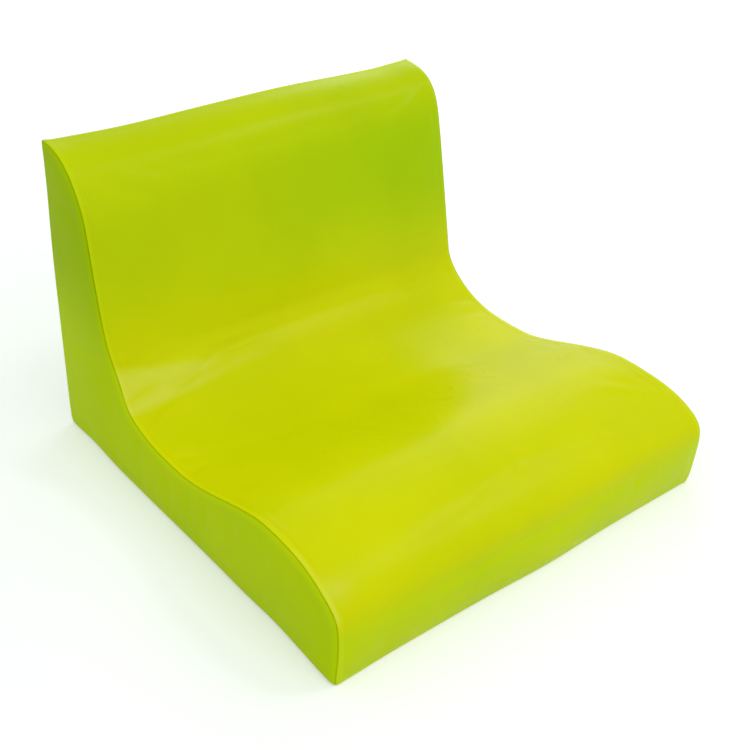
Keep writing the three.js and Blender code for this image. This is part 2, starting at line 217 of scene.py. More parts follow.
# Foam blocks
# Two blocks of cream upholstery foam, glued together: the seat block runs the full depth of
# the chair, and the back block stands on its rear half. They are cut to one wavy side outline.
chair_depth = 612 * mm
chair_height = 418 * mm
front_shift = -chair_depth / 2
rear_plane = 302 * mm
foam_half = 292.6 * mm
foam_inset = 1.6 * mm
foam_bevel = 3 * mm
foam_cuts = 24
zip_height = 62 * mm
steps_per_stretch = 80
seam_half = 297.0 * mm
seam_inset = 0.45 * mm
corner_reach = 11 * mm
corner_pull = 1.5 * mm
back_twist = 4.2 * mm
back_pinch = 3.0 * mm
top_tilt = 3.2 * mm
top_draw_left = 3.3 * mm
fold_dip = 6.6 * mm
crest_rise = 1.9 * mm
fold_bridge = 6 * mm
fold_pinch = 4 * mm
dip_lift = 3.2 * mm
nose_draw = 3.8 * mm
end_flare = 0.8 * mm


def heading(degrees):
    return Vector((cos(radians(degrees)), sin(radians(degrees))))


def bend(start, start_way, end, end_way, leave_share, arrive_share):
    span = (end - start).length
    left, arrived = start_way * leave_share * span, end_way * arrive_share * span
    return (start, start + left, end - arrived, end)


outline_knots = [
    Vector((3 * mm, 0.4 * mm)),
    Vector((0, 59 * mm)),
    Vector((24 * mm, 103 * mm)),
    Vector((133 * mm, 127 * mm)),
    Vector((310 * mm, 87 * mm)),
    Vector((480 * mm, 159 * mm)),
]
upright, level, nose_way = heading(90), heading(0), heading(31)
back_way, top_way = heading(90 - 12.3), heading(1)
roll_start = outline_knots[5] + back_way * ((308 - 159) * mm / back_way.y)
top_end = Vector((608 * mm, chair_height))
face_bend = Vector((0, 25 * mm))
outline_stretches = [
    (
        outline_knots[0],
        outline_knots[0].lerp(face_bend, 2 / 3),
        outline_knots[1].lerp(face_bend, 2 / 3),
        outline_knots[1],
    ),
    bend(outline_knots[1], upright, outline_knots[2], nose_way, 0.42, 0.5),
    bend(outline_knots[2], nose_way, outline_knots[3], level, 0.28, 0.47),
    bend(outline_knots[3], level, outline_knots[4], level, 0.25, 0.23),
    bend(outline_knots[4], level, outline_knots[5], back_way, 0.45, 0.24),
    bend(outline_knots[5], back_way, roll_start, back_way, 1 / 3, 1 / 3),
    bend(roll_start, back_way, top_end, top_way, 0.5, 0.44),
]
outline_points = [outline_knots[0]]
stretch_ends = []
for sheen_strength in outline_stretches:
    outline_points += list(interpolate_bezier(*sheen_strength, steps_per_stretch + 1))[1:]
    stretch_ends.append(len(outline_points) - 1)
outline = np.array([(point.x, point.y) for point in outline_points])
outline_steps = np.linalg.norm(np.diff(outline, axis=0), axis=1)
outline_run = np.concatenate([[0], np.cumsum(outline_steps)])
outline_length = float(outline_run[-1])
outline_way = np.gradient(outline, outline_run, axis=0)
outline_way /= np.linalg.norm(outline_way, axis=1)[:, None]
run_at_knots = [float(outline_run[place]) for place in stretch_ends]


def outline_at(run):
    """Depth and height of the side outline, and the way out of the foam there."""
    y, z, along_y, along_z = (
        float(np.interp(run, outline_run, values))
        for values in (outline[:, 0], outline[:, 1], outline_way[:, 0], outline_way[:, 1])
    )
    size = sqrt(along_y ** 2 + along_z ** 2)
    return Vector((y, z)), Vector((-along_z, along_y)) / size


def finish_piece(name, shape, material, body="chair", replaced=()):
    mesh = bpy.data.meshes.new(name)
    shape.to_mesh(mesh)
    shape.free()
    mesh.shade_smooth()
    mesh.materials.append(material)
    piece = bpy.data.objects.new(name, mesh)
    scene.collection.objects.link(piece)
    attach(piece, body)
    if replaced:
        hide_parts(*replaced)
    return piece


def new_material(name):
    material = bpy.data.materials.new(name)
    material.use_nodes = True
    tree = material.node_tree
    tree.nodes.clear()
    place = add_node(tree, "TexCoord").outputs["Object"]
    shader = add_node(tree, "BsdfPrincipled")
    add_node(tree, "OutputMaterial", {"Surface": shader.outputs[0]})
    return material, tree, place, shader


def new_group(name, takes, gives):
    tree = bpy.data.node_groups.new(name, "ShaderNodeTree")
    for label, kind, value in takes:
        socket = tree.interface.new_socket(label, in_out="INPUT", socket_type="NodeSocket" + kind)
        if value is not None:
            socket.default_value = value
    for label, kind in gives:
        tree.interface.new_socket(label, in_out="OUTPUT", socket_type="NodeSocket" + kind)
    taken = tree.nodes.new("NodeGroupInput").outputs
    given = tree.nodes.new("NodeGroupOutput").inputs
    return tree, taken, given


def use_group(tree, group, inputs):
    return add_node(tree, "Group", inputs, node_tree=group).outputs


# Soft variation of a colour over a surface, from two sizes of noise
mottle, taken, given = new_group(
    "soft mottle",
    [("Place", "Vector", None), ("Colour", "Color", (0.8, 0.8, 0.8, 1)),
     ("Scale", "Float", 8.0), ("Amount", "Float", 0.04)],
    [("Colour", "Color")],
)
broad = add_node(mottle, "TexNoise", {
    "Vector": taken["Place"], "Scale": taken["Scale"], "Detail": 3.0,
})
spread = add_node(mottle, "MapRange", {
    "Value": broad.outputs["Fac"], "From Min": 0.3, "From Max": 0.7,
    "To Min": maths(mottle, "SUBTRACT", 1.0, taken["Amount"]),
    "To Max": maths(mottle, "ADD", 1.0, taken["Amount"]),
}).outputs[0]
mottle.links.new(scaled(mottle, taken["Colour"], spread), given["Colour"])


def mottled_material(name, colour, scale, amount):
    material, tree, place, shader = new_material(name)
    mottled = use_group(tree, mottle, {
        "Place": place, "Colour": colour, "Scale": scale, "Amount": amount,
    })["Colour"]
    tree.links.new(mottled, shader.inputs["Base Color"])
    return material, tree, place, shader, mottled


foam_material, foam_tree, foam_place, foam_shader, _ = mottled_material(
    "cream foam", plain(232, 226, 206), 22.0, 0.05,
)
foam_pores = add_node(foam_tree, "TexVoronoi", {"Vector": foam_place, "Scale": 900.0})
set_inputs(foam_tree, foam_shader, {
    "Roughness": 0.95, "Specular IOR Level": 0.2,
    "Normal": raised(foam_tree, foam_pores.outputs["Distance"], 0.5, 0.4 * mm),
})

glue_run = (run_at_knots[3] + run_at_knots[4]) / 2 + 10 * mm
glue_height = outline_at(glue_run)[0].y
groove_half = 16.5 * mm
groove_depth = 4.5 * mm


def eased(value, low, high):
    share = min(max((value - low) / (high - low), 0), 1)
    return share * share * (3 - 2 * share)


def bell(value, middle, width):
    return exp(-((value - middle) / width) ** 2)


# Uneven edges as the sum of a few soft bumps: the height, middle and width of each, and what
# is added all along, in millimetres. The front face's foot stands forward, the left side's
# foot is drawn in along its depth, and the top edge is bowed along its width.
foot_forward = ([(3.2, 25, 75), (1.8, -290, 45)], 0.6)
foot_inward = ([(1.4, -60, 110), (2.4, 235, 45), (1.8, -190, 40), (-2.6, -300, 40)], 0.3)
top_bow = ([(2.2, 70, 90), (-3.7, -190, 98), (2.6, 285, 34)], 0)


def bumps(value, edge):
    rows, added = edge
    heights = (high * bell(value, middle * mm, width * mm) for high, middle, width in rows)
    return mm * (sum(heights) + added)


def as_it_sits(place):
    """Soft foam in a sewn cover is never quite true: the backrest turns a little, its top edge
    is bowed, and the fold is deeper at the right end and bridged by tight cloth at the left."""
    x, y, z = place
    across = x / seam_half
    to_left, to_right = max(-across, 0), max(across, 0)
    ahead = eased(rear_plane - y, 0, 90 * mm) * eased(z, 100 * mm, 160 * mm)
    ahead *= 1 - eased(z, 330 * mm, chair_height)
    y += back_twist * across * ahead
    x += back_pinch * ahead * bell(x, -seam_half, 9 * mm)
    z += (top_tilt * across + bumps(x, top_bow)) * eased(z, 280 * mm, chair_height)
    x += top_draw_left * to_left * eased(z, 230 * mm, chair_height)
    on_top = eased(z, 30 * mm, 90 * mm) * (1 - eased(z, 150 * mm, 210 * mm))
    z -= fold_dip * to_right ** 2 * bell(y, 108 * mm, 68 * mm) * on_top
    z += crest_rise * to_right ** 2 * bell(y, -95 * mm, 75 * mm) * on_top
    z += dip_lift * to_left ** 4 * bell(y, 5 * mm, 45 * mm) * on_top
    taut = max(to_left - 0.24, 0) / 0.76
    in_fold = bell(y, 158 * mm, 34 * mm) * bell(z, 135 * mm, 36 * mm)
    bridge = fold_bridge * taut ** 1.6 * in_fold
    y -= 0.62 * bridge
    z += 0.78 * bridge
    x += fold_pinch * to_left ** 6 * in_fold
    nose = eased(-y, 200 * mm, 290 * mm) * (1 - eased(z, 120 * mm, 200 * mm))
    x += nose_draw * eased(across, 0.8, 1) * nose * eased(z, -10 * mm, 95 * mm)
    under_top = 1 - eased(z, 340 * mm, chair_height)
    x += end_flare * to_left ** 8 * eased(y, 200 * mm, rear_plane) * under_top
    x += end_flare * to_right ** 8
    y -= bumps(x, foot_forward) * (1 - eased(z, 0, 80 * mm)) * eased(-y, 240 * mm, 300 * mm)
    x += bumps(y, foot_inward) * eased(-across, 0.9, 1) * (1 - eased(z, 0, 55 * mm))
    return with_ears(Vector((x, y, z)))


def with_ears(place):
    """Pulls cloth out at the top rear corners, where three seams meet over no foam."""
    side = 1 if place.x > 0 else -1
    corner = Vector((side * seam_half, rear_plane, chair_height - seam_inset))
    near = exp(-((place - corner).length / corner_reach) ** 2)
    way = Vector((side * 0.55, 0.45, 0.7)).normalized()
    return place + way * corner_pull * near


def soften(shape, edges, radius, segments):
    bmesh.ops.bevel(
        shape, geom=edges, offset=radius, offset_type="OFFSET", segments=segments,
        profile=0.5, affect="EDGES", material=-1, clamp_overlap=True,
    )


def foam_block(name, profile, node):
    """A block cut to a side profile, given in depth and height, with softened edges."""
    shape = bmesh.new()
    corners = [shape.verts.new((-foam_half, y + front_shift, z)) for y, z in profile]
    cut_face = shape.faces.new(corners)
    cut = bmesh.ops.extrude_face_region(shape, geom=[cut_face])
    moved = [item for item in cut["geom"] if isinstance(item, bmesh.types.BMVert)]
    bmesh.ops.translate(shape, verts=moved, vec=(2 * foam_half, 0, 0))
    bmesh.ops.recalc_face_normals(shape, faces=shape.faces)
    rims = [
        edge for edge in shape.edges
        if any(len(face.verts) > 4 for face in edge.link_faces)
    ]
    soften(shape, rims, foam_bevel, 3)
    for cut in range(1, foam_cuts):
        place = (foam_half * (2 * cut / foam_cuts - 1), 0, 0)
        everything = shape.verts[:] + shape.edges[:] + shape.faces[:]
        bmesh.ops.bisect_plane(shape, geom=everything, plane_co=place, plane_no=(1, 0, 0))
    for corner in shape.verts:
        corner.co = as_it_sits(corner.co)
    block = finish_piece(name, shape, foam_material, replaced=[node])
    return block


def inset_outline(start_run, end_run, steps, inset):
    points = []
    for step in range(steps + 1):
        point, outward = outline_at(start_run + (end_run - start_run) * step / steps)
        points.append(point - outward * inset)
    return points


foam_rear = rear_plane - front_shift - foam_inset
seat_front = inset_outline(9 * mm, glue_run, 60, foam_inset)
foam_block("foam_seat", [
    (foam_inset + 4 * mm, foam_inset + 1 * mm),
    *[(point.x, min(point.y, glue_height - 0.3 * mm)) for point in seat_front],
    (foam_rear, glue_height - 0.3 * mm),
    (foam_rear, zip_height + groove_half + 2 * mm),
    (foam_rear - groove_depth, zip_height + groove_half),
    (foam_rear - groove_depth, zip_height - groove_half),
    (foam_rear, zip_height - groove_half - 2 * mm),
    (foam_rear, foam_inset + 1 * mm),
], "foam_seat_block")
back_front = inset_outline(glue_run, outline_length - 6 * mm, 50, foam_inset + 0.4 * mm)
foam_block("foam_back", [
    (foam_rear, glue_height + 0.3 * mm),
    (back_front[0].x + 2 * mm, glue_height + 0.3 * mm),
    *[(point.x, max(point.y, glue_height + 0.3 * mm)) for point in back_front[1:]],
    (foam_rear, chair_height - foam_inset - 1 * mm),
], "foam_back_block")


# Cover, main panel
# One strip of satin coated cloth, sewn in at both sides, which runs up the front, over the
# seat and up the backrest to the top rear edge. Its edges turn in at the seams, and the seam
# allowances beneath raise a soft ridge beside them.
seam_roll = 1.7 * mm
seam_gap = 0.1 * mm
tuck_depth = 1.2 * mm
bottom_lift = 0.4 * mm
foot_roll = 3 * mm
foot_draw = 0.8 * mm
edge_roll = 12 * mm
edge_draw = 4 * mm
cover_thickness = 1.1 * mm
crown_rise = 2.5 * mm
cell_size = 5.5 * mm
seam_steps = [
    value * mm for value in (0, 0.25, 0.6, 1.1, 1.8, 2.7, 3.7, 4.8, 6.2, 8, 10, 13, 17.5)
]
ridge_middle = 4.6 * mm
ridge_width = 2.0 * mm
pucker_reach = 6 * mm


def rolled(distance, reach, depth):
    """How far a turned edge lies below its surface, a quarter round deep at the edge."""
    left = min(max(1 - distance / reach, 0), 1)
    return depth * (1 - sqrt(1 - left * left))


def hump(distance, middle, width, height):
    return height * exp(-((distance - middle) / width) ** 2)


def swelling(distance, reach):
    left = 1 - min(max(distance, 0), reach) / reach
    return 1 - left * left


def places_between(low, high, tucked=True):
    """Places across a cloth panel: close together at both seams, and even in between."""
    start, end = low + seam_steps[-1], high - seam_steps[-1]
    count = max(2, round((end - start) / cell_size))
    even = [start + (end - start) * step / count for step in range(1, count)]
    near_low = [low + step for step in seam_steps]
    near_high = [high - step for step in reversed(seam_steps)]
    ends = ([low - tuck_depth], [high + tuck_depth]) if tucked else ([], [])
    return ends[0] + near_low + even + near_high + ends[1]


def pucker(run, strength=1.0):
    """The slight unevenness that stitching leaves along a seam."""
    wave = sin(run * 2 * pi / 0.0113) + 0.7 * sin(run * 2 * pi / 0.0187 + 1.3)
    slow = 0.6 + 0.4 * sin(run * 2 * pi / 0.093 + 0.5)
    return 0.09 * mm * strength * wave * slow


def sewn_panel(shape, across, along, place, sheen_mask=None):
    """A panel made from a grid, each corner of which is put in its place on the chair."""
    columns, rows = len(across) - 1, len(along) - 1
    bmesh.ops.create_grid(shape, x_segments=columns, y_segments=rows, size=0.5)
    # One layer holds the distance to a seam, the other how strong a painted sheen is there
    from_seam = shape.verts.layers.float.new("from_seam")
    painted_sheen = shape.verts.layers.float.new("painted_sheen")
    for corner in shape.verts:
        column = round((corner.co.x + 0.5) * columns)
        row = round((corner.co.y + 0.5) * rows)
        corner.co, corner[from_seam] = place(across[column], along[row])
        if sheen_mask:
            corner[painted_sheen] = sheen_mask(across[column], along[row])
    bmesh.ops.remove_doubles(shape, verts=shape.verts, dist=0.01 * mm)


foam_clearance = 0.25 * mm
settle_frames = 20
cloth_stiffness = {
    "tension_stiffness": 25, "compression_stiffness": 25, "shear_stiffness": 8,
    "bending_stiffness": 2,
}
cloth_shrink = -0.004


def settle(piece, held_within, cap, pressure):
    """Lets the cloth swell between its seams, and keeps each point within cap of its cut."""
    mesh = piece.data
    held = piece.vertex_groups.new(name="sewn")
    for corner, near in enumerate(mesh.attributes["from_seam"].data):
        if near.value < held_within:
            held.add([corner], 1.0, "REPLACE")
    cut = np.empty(len(mesh.vertices) * 3)
    mesh.vertices.foreach_get("co", cut)
    cloth = piece.modifiers.new("swelling", "CLOTH")
    cloth.settings.quality = 4
    cloth.settings.mass = 0.4
    for name, value in cloth_stiffness.items():
        setattr(cloth.settings, name, value)
    cloth.settings.shrink_min = cloth_shrink
    cloth.settings.use_pressure = True
    cloth.settings.uniform_pressure_force = pressure
    cloth.settings.effector_weights.gravity = 0
    cloth.settings.vertex_group_mass = "sewn"
    cloth.collision_settings.use_collision = False
    cloth.point_cache.frame_start = 1
    cloth.point_cache.frame_end = settle_frames
    for step in range(1, settle_frames + 1):
        scene.frame_set(step)
    shown = piece.evaluated_get(bpy.context.evaluated_depsgraph_get())
    settled = np.empty(len(mesh.vertices) * 3)
    shown.data.vertices.foreach_get("co", settled)
    moved = (settled - cut).reshape(-1, 3)
    far = np.linalg.norm(moved, axis=1)[:, None] + 1e-9
    moved *= cap * np.tanh(far / cap) / far
    outward = np.empty(len(mesh.vertices) * 3)
    mesh.vertex_normals.foreach_get("vector", outward)
    outward = outward.reshape(-1, 3)
    inward = np.minimum((moved * outward).sum(axis=1) + foam_clearance, 0)
    moved -= outward * inward[:, None]
    piece.modifiers.remove(cloth)
    piece.vertex_groups.clear()
    scene.frame_set(1)
    mesh.vertices.foreach_set("co", cut + moved.ravel())
    mesh.update()


def give_thickness(piece, thickness):
    wall = piece.modifiers.new("cloth thickness", "SOLIDIFY")
    wall.thickness = thickness
    wall.offset = -1
    wall.use_rim = True


def finish_panel(name, shape, material, node, held_within, cap, pressure):
    panel = finish_piece(name, shape, material, replaced=[node])
    settle(panel, held_within, cap, pressure)
    give_thickness(panel, cover_thickness)


# Fine leather-like grain pressed into a coated cloth, as a height and a change of roughness
grain, taken, given = new_group(
    "pressed grain",
    [("Place", "Vector", None), ("Cells", "Float", 700.0), ("Roughness", "Float", 0.4)],
    [("Height", "Float"), ("Roughness", "Float")],
)
cells = add_node(grain, "TexVoronoi", {
    "Vector": taken["Place"], "Scale": taken["Cells"], "Smoothness": 0.6,
}, feature="SMOOTH_F1")
ripples = add_node(grain, "TexNoise", {"Vector": taken["Place"], "Scale": 160.0, "Detail": 4.0})
heights = maths(grain, "MULTIPLY_ADD", ripples.outputs["Fac"], 0.8, cells.outputs["Distance"])
grain.links.new(heights, given["Height"])
patches = add_node(grain, "TexNoise", {"Vector": taken["Place"], "Scale": 9.0, "Detail": 2.0})
change = maths(grain, "MULTIPLY_ADD", patches.outputs["Fac"], 0.14, -0.07)
grain.links.new(maths(grain, "ADD", change, taken["Roughness"]), given["Roughness"])

# Painted shade in the fold of a seam, and a painted highlight on the ridge beside it
seam_shade, taken, given = new_group(
    "seam shade",
    [("Colour", "Color", (0.8, 0.8, 0.8, 1)), ("From seam", "Float", 1.0),
     ("Fold shade", "Float", 0.5), ("Painted ridge highlight", "Float", 0.1)],
    [("Colour", "Color")],
)
lit = maths(seam_shade, "SUBTRACT", 1.0, taken["Fold shade"])
fold = fade(seam_shade, taken["From seam"], 0.1 * mm, 1.1 * mm, lit)
# The ridge beside the seam is made paler, a painted highlight
ridge_on = fade(seam_shade, taken["From seam"], 2 * mm, 9 * mm, 1.0, 0.0)
ridge_light = maths(seam_shade, "MULTIPLY_ADD", ridge_on, taken["Painted ridge highlight"], 1.0)
both = maths(seam_shade, "MULTIPLY", fold, ridge_light)
seam_shade.links.new(scaled(seam_shade, taken["Colour"], both), given["Colour"])


# Where painted light and shade change the cover's colour, across it and in height, and how far its
# dye changes at random
painted_shade_half = 250 * mm
foot_heights = (50 * mm, 90 * mm)
back_heights = (110 * mm, 300 * mm)
top_heights = (340 * mm, 410 * mm)
dye_change = (0.985, 1.02)
# Painted sheen: the share and the pale colour mixed in where a highlight is painted on the cloth
painted_sheen_share = 0.17
painted_sheen_colour = plain(228, 230, 128)


def coated_cloth(name, seat_colour, back_colours, foot_colour, roughness, specular):
    """The cover's cloth. Its colour is painted to stand in for light and shade: yellower on the
    seat, where the warm light from above falls, than on the backrest and at the foot; the
    backrest's is given for its left and its right, to paint its shade across."""
    material, tree, place, shader = new_material(name)
    spot = add_node(tree, "SeparateXYZ", {0: place}).outputs
    # Painted light and shade: the colour changes with height and across the backrest, not with the
    # cloth
    sideways = fade(tree, spot["X"], -painted_shade_half, painted_shade_half)
    under_top = fade(tree, spot["Z"], *top_heights, 1.0, 0.15)
    back_painted_colour = mixed(tree, maths(tree, "MULTIPLY", sideways, under_top), *back_colours)
    foot = fade(tree, spot["Z"], *foot_heights, 1.0, 0.0)
    seat_painted_colour = mixed(tree, foot, seat_colour, foot_colour)
    light_painted_colour = mixed(tree, fade(tree, spot["Z"], *back_heights), seat_painted_colour, back_painted_colour)
    mottled = use_group(tree, mottle, {
        "Place": place, "Colour": light_painted_colour, "Scale": 7.0, "Amount": 0.03,
    })
    batches = add_node(tree, "TexNoise", {"Vector": place, "Scale": 6.5, "Detail": 1.0})
    yellow = fade(tree, batches.outputs["Fac"], 0.35, 0.65, *dye_change)
    tint = add_node(tree, "CombineXYZ", {"X": yellow, "Y": 1.0, "Z": 1.0})
    uneven = add_node(tree, "VectorMath", {
        0: mottled["Colour"], 1: tint.outputs[0],
    }, operation="MULTIPLY")
    near = add_node(tree, "Attribute", attribute_name="from_seam")
    # Painted shade darkens each seam's fold, and a painted highlight pales the ridge beside it
    shaded = use_group(tree, seam_shade, {
        "Colour": uneven.outputs[0], "From seam": near.outputs["Fac"],
        "Fold shade": 0.15, "Painted ridge highlight": 0.05,
    })
    # Painted highlight: the cloth is mixed towards a pale colour where the painted sheen is strong
    sheen_strength = add_node(tree, "Attribute", attribute_name="painted_sheen")
    painted_sheen_mix = maths(tree, "MULTIPLY", sheen_strength.outputs["Fac"], painted_sheen_share)
    pressed = use_group(tree, grain, {"Place": place, "Cells": 720.0, "Roughness": roughness})
    set_inputs(tree, shader, {
        "Base Color": mixed(tree, painted_sheen_mix, shaded["Colour"], painted_sheen_colour),
        "Roughness": pressed["Roughness"], "Specular IOR Level": specular,
        "Normal": raised(tree, pressed["Height"], 0.18, 0.25 * mm),
    })
    return material


# The seat is painted yellower and the backrest and foot greener, as painted light and shade; the
# backrest's right is painted greener still
vinyl = coated_cloth(
    "green coated cloth", plain(213, 216, 0), (plain(194, 209, 0), plain(176, 207, 0)),
    plain(203, 221, 0), 0.28, 0.05,
)


def crown_at(run, x):
    """The padded rise over the seat and the backrest, none at the seams and the fold."""
    start, fold_run = run_at_knots[0], glue_run
    if run < fold_run:
        share = max(0, (run - start) / (fold_run - start))
    else:
        share = (run - fold_run) / (outline_length - fold_run)
    across_share = max(0, 1 - (x / foam_half) ** 2)
    return crown_rise * sin(pi * share) * across_share


# Small pulls at the left end of the fold: where each starts and ends, across and along the
# cloth, its half width, and how far it rises or sinks, all in millimetres
fold_pulls = [
    ((-294, 543), (-246, 556), 4.0, -0.7),
    ((-224, 537), (-182, 548), 4.5, -0.7),
    ((-292, 529), (-188, 535), 5.0, 0.6),
    ((-294, 572), (-150, 559), 7.0, 0.6),
    ((-168, 548), (-124, 551), 4.0, -0.5),
    ((-130, 548), (-70, 545), 6.0, 0.4),
]


def pull_at(x, run):
    rise = 0
    for start, end, width, height in fold_pulls:
        spot, start, end = Vector((x, run)), Vector(start) * mm, Vector(end) * mm
        way = end - start
        share = (spot - start).dot(way) / way.length_squared
        inside = min(max(share, 0), 1)
        off = (spot - start - way * inside).length
        rise += height * mm * bell(off, 0, width * mm) * (1 - 0.5 * abs(2 * inside - 1))
    return rise


def painted_sheen_at(x, run):
    """How strong the painted sheen is: a pale painted highlight in a wedge at the left end of the
    fold, over the left end of the nose and the rim beside its seam, and at the top left corner."""
    upper = float(np.interp(x, [-288 * mm, -150 * mm, -60 * mm], [589 * mm, 563 * mm, 550 * mm]))
    lower = float(np.interp(x, [-288 * mm, -190 * mm, -60 * mm], [522 * mm, 529 * mm, 543 * mm]))
    wedge = eased(upper - run, -4 * mm, 10 * mm) * eased(run - lower, -3 * mm, 8 * mm)
    wedge *= float(np.interp(x, [-0.19, -0.14, -0.06, -0.04], [1.0, 0.45, 0.2, 0.0]))
    wedge *= min(max(1 + pull_at(x, run) / (0.6 * mm), 0.25), 1.2)
    nose = bell(x, -281 * mm, 17 * mm) * bell(run, 115 * mm, 12 * mm)
    rim = 1.4 * bell(x, -seam_half + 3 * mm, 2.2 * mm) * eased(run, 80 * mm, 88 * mm)
    rim *= 1 - 0.55 * eased(run, 100 * mm, 145 * mm) - 0.45 * eased(run, 165 * mm, 190 * mm)
    corner = bell(x, -284 * mm, 9 * mm) * bell(run, 893 * mm, 9 * mm)
    return max(wedge, 0.75 * nose, rim, 0.6 * corner)


def seam_depth(run):
    """The seam sinks deeper at the front corner and at the top rear one than in between."""
    low = 1 - eased(run, 55 * mm, 80 * mm)
    high = eased(run, outline_length - 50 * mm, outline_length - 20 * mm)
    return seam_inset + 0.6 * mm * low + 0.5 * mm * high


def main_place(x, run):
    inner = max(abs(x) - seam_half, 0)
    end_in = max(-run, run - outline_length, 0)
    side_near = seam_half - abs(x)
    foot_near, top_near = run, outline_length - run
    point, outward = outline_at(min(max(run, 0), outline_length))
    sink = rolled(side_near, seam_roll, seam_depth(run))
    sink += rolled(top_near, seam_roll, 2 * seam_inset)
    sink += rolled(foot_near, foot_roll, foot_draw)
    ridge = hump(side_near, ridge_middle, ridge_width, 0.4 * mm)
    ridge += hump(top_near, ridge_middle, ridge_width, 0.5 * mm)
    rise = crown_at(run, x) + ridge - sink + pull_at(x, run)
    if side_near < pucker_reach:
        rise += pucker(run)
    x_place = min(abs(x), seam_half) - 0.9 * inner
    x_place -= rolled(foot_near, edge_roll, edge_draw) * bell(max(side_near, 0), 0, 16 * mm)
    rise -= inner + end_in
    sign = 1 if x > 0 else -1
    place = Vector((
        sign * x_place, front_shift + point.x + outward.x * rise, point.y + outward.y * rise,
    ))
    near = min(side_near, top_near, foot_near + 1.2 * mm)
    return as_it_sits(place), max(near, 0)


main_shape = bmesh.new()
sewn_panel(
    main_shape, places_between(-seam_half, seam_half), places_between(0, outline_length),
    main_place, painted_sheen_at,
)
finish_panel("cover_main", main_shape, vinyl, "cover_main_panel", 9 * mm, 2.5 * mm, 3.0)


# Cover, side panels
# Two panels cut to the side outline. Each swells a little between its seams. The seam
# allowances are pressed on to them and show as a raised band along the edge.
side_swell = 1.3 * mm
side_lip = 3.1 * mm
side_round = 9 * mm
side_band = 0.3 * mm
side_floor = bottom_lift
side_seam = np.array([
    tuple(point - outward * (seam_inset + seam_gap))
    for point, outward in (outline_at(run) for run in outline_run)
])
side_rear = rear_plane - front_shift - seam_inset - seam_gap
side_seam[:, 0] = np.minimum(side_seam[:, 0], side_rear)
side_top = float(side_seam[-1, 1])
side_low_runs = [0, *run_at_knots[1:6], outline_length]
side_low_lengths = [
    0, 70 * mm, 165 * mm, 330 * mm, side_rear, side_rear + 235 * mm,
    side_rear + side_top - side_floor,
]
# The side panels get a darker, greener copy of the cover cloth, painted shade for sides that face
# away from the light
side_vinyl_shaded = coated_cloth(
    "green side cloth, painted darker", plain(186, 208, 0), (plain(159, 187, 0), plain(159, 187, 0)),
    plain(184, 207, 0), 0.5, 0.03,
)


def side_low_place(run):
    length = float(np.interp(run, side_low_runs, side_low_lengths))
    front = float(side_seam[0, 0])
    if length < side_rear:
        return Vector((front + (side_rear - front) * length / side_rear, side_floor))
    return Vector((side_rear, side_floor + length - side_rear))


def gap_to_seam(spot):
    """Distance in the side's plane from a spot to the curved seam line."""
    steps = np.diff(side_seam, axis=0)
    offset = np.array(spot) - side_seam[:-1]
    lengths = np.maximum((steps ** 2).sum(axis=1), 1e-12)
    share = np.clip((offset * steps).sum(axis=1) / lengths, 0, 1)
    return float(np.linalg.norm(offset - steps * share[:, None], axis=1).min())


def side_place_on(sign):
    def side_place(step, run):
        y = float(np.interp(run, outline_run, side_seam[:, 0]))
        z = float(np.interp(run, outline_run, side_seam[:, 1]))
        high, low = Vector((y, z)), side_low_place(run)
        span = (high - low).length
        way = (low - high) / span if span > 1e-6 else Vector((0, 0))
        outward = outline_at(run)[1]
        slant_high = max(0.35, -way.dot(outward)) if span > 1e-6 else 1
        low_way = Vector((0, 1)) if low.x < side_rear - 1e-6 else Vector((-1, 0))
        slant_low = max(0.35, -way.dot(low_way)) if span > 1e-6 else 1
        edge_rows = len(seam_steps)
        near_high = min(seam_steps[-1] / slant_high, 0.42 * span)
        near_low = min(seam_steps[-1] / slant_low, 0.42 * span)
        last = side_rows - 1
        if step < edge_rows:
            travel = near_high * seam_steps[step] / seam_steps[-1]
        elif step > last - edge_rows:
            travel = span - near_low * seam_steps[last - step] / seam_steps[-1]
        else:
            share = (step - edge_rows + 1) / (last - 2 * edge_rows + 2)
            travel = near_high + (span - near_high - near_low) * share
        spot = high + way * travel
        from_outline = gap_to_seam(spot)
        from_rear = side_rear - spot.x
        from_floor = spot.y - side_floor
        rise = side_lip - rolled(from_outline, side_round, side_lip)
        rise -= rolled(from_rear, side_round, side_lip) * (1 - rolled(from_outline, side_round, 1))
        nearest = min(from_outline, from_rear)
        band = side_band * (1 - swelling(nearest - 8 * mm, 3 * mm))
        band *= swelling(nearest, 5 * mm) * swelling(from_floor, 12 * mm)
        full = swelling(from_outline, 40 * mm) * swelling(from_rear, 40 * mm)
        rise += band + side_swell * full * (0.35 + 0.65 * swelling(from_floor, 40 * mm))
        rise -= rolled(from_floor, edge_roll, edge_draw)
        if nearest < pucker_reach:
            rise += pucker(run + spot.y, 0.7)
        place = Vector((sign * (seam_half + 0.1 * mm + rise), front_shift + spot.x, spot.y))
        place.y += rolled(from_floor, foot_roll, foot_draw) * bell(spot.x, 0, 12 * mm)
        return as_it_sits(place), min(nearest, from_floor + 1.2 * mm)
    return side_place


side_rows = 2 * len(seam_steps) + 24
side_runs = [0, 1.5 * mm, 4 * mm, 8 * mm]
end_run = 13 * mm
even_length = outline_length - 2 * end_run
even_runs = round(even_length / cell_size)
side_runs += [end_run + even_length * step / even_runs for step in range(even_runs + 1)]
side_runs += [outline_length - value for value in reversed(side_runs[:4])]
for name, sign in (("left", -1), ("right", 1)):
    side_shape = bmesh.new()
    sewn_panel(side_shape, list(range(side_rows)), side_runs, side_place_on(sign))
    if sign < 0:
        bmesh.ops.reverse_faces(side_shape, faces=side_shape.faces)
    finish_panel(
        "cover_side_" + name, side_shape, side_vinyl_shaded, "cover_side_panel_" + name,
        10 * mm, 1.6 * mm, 3.0,
    )


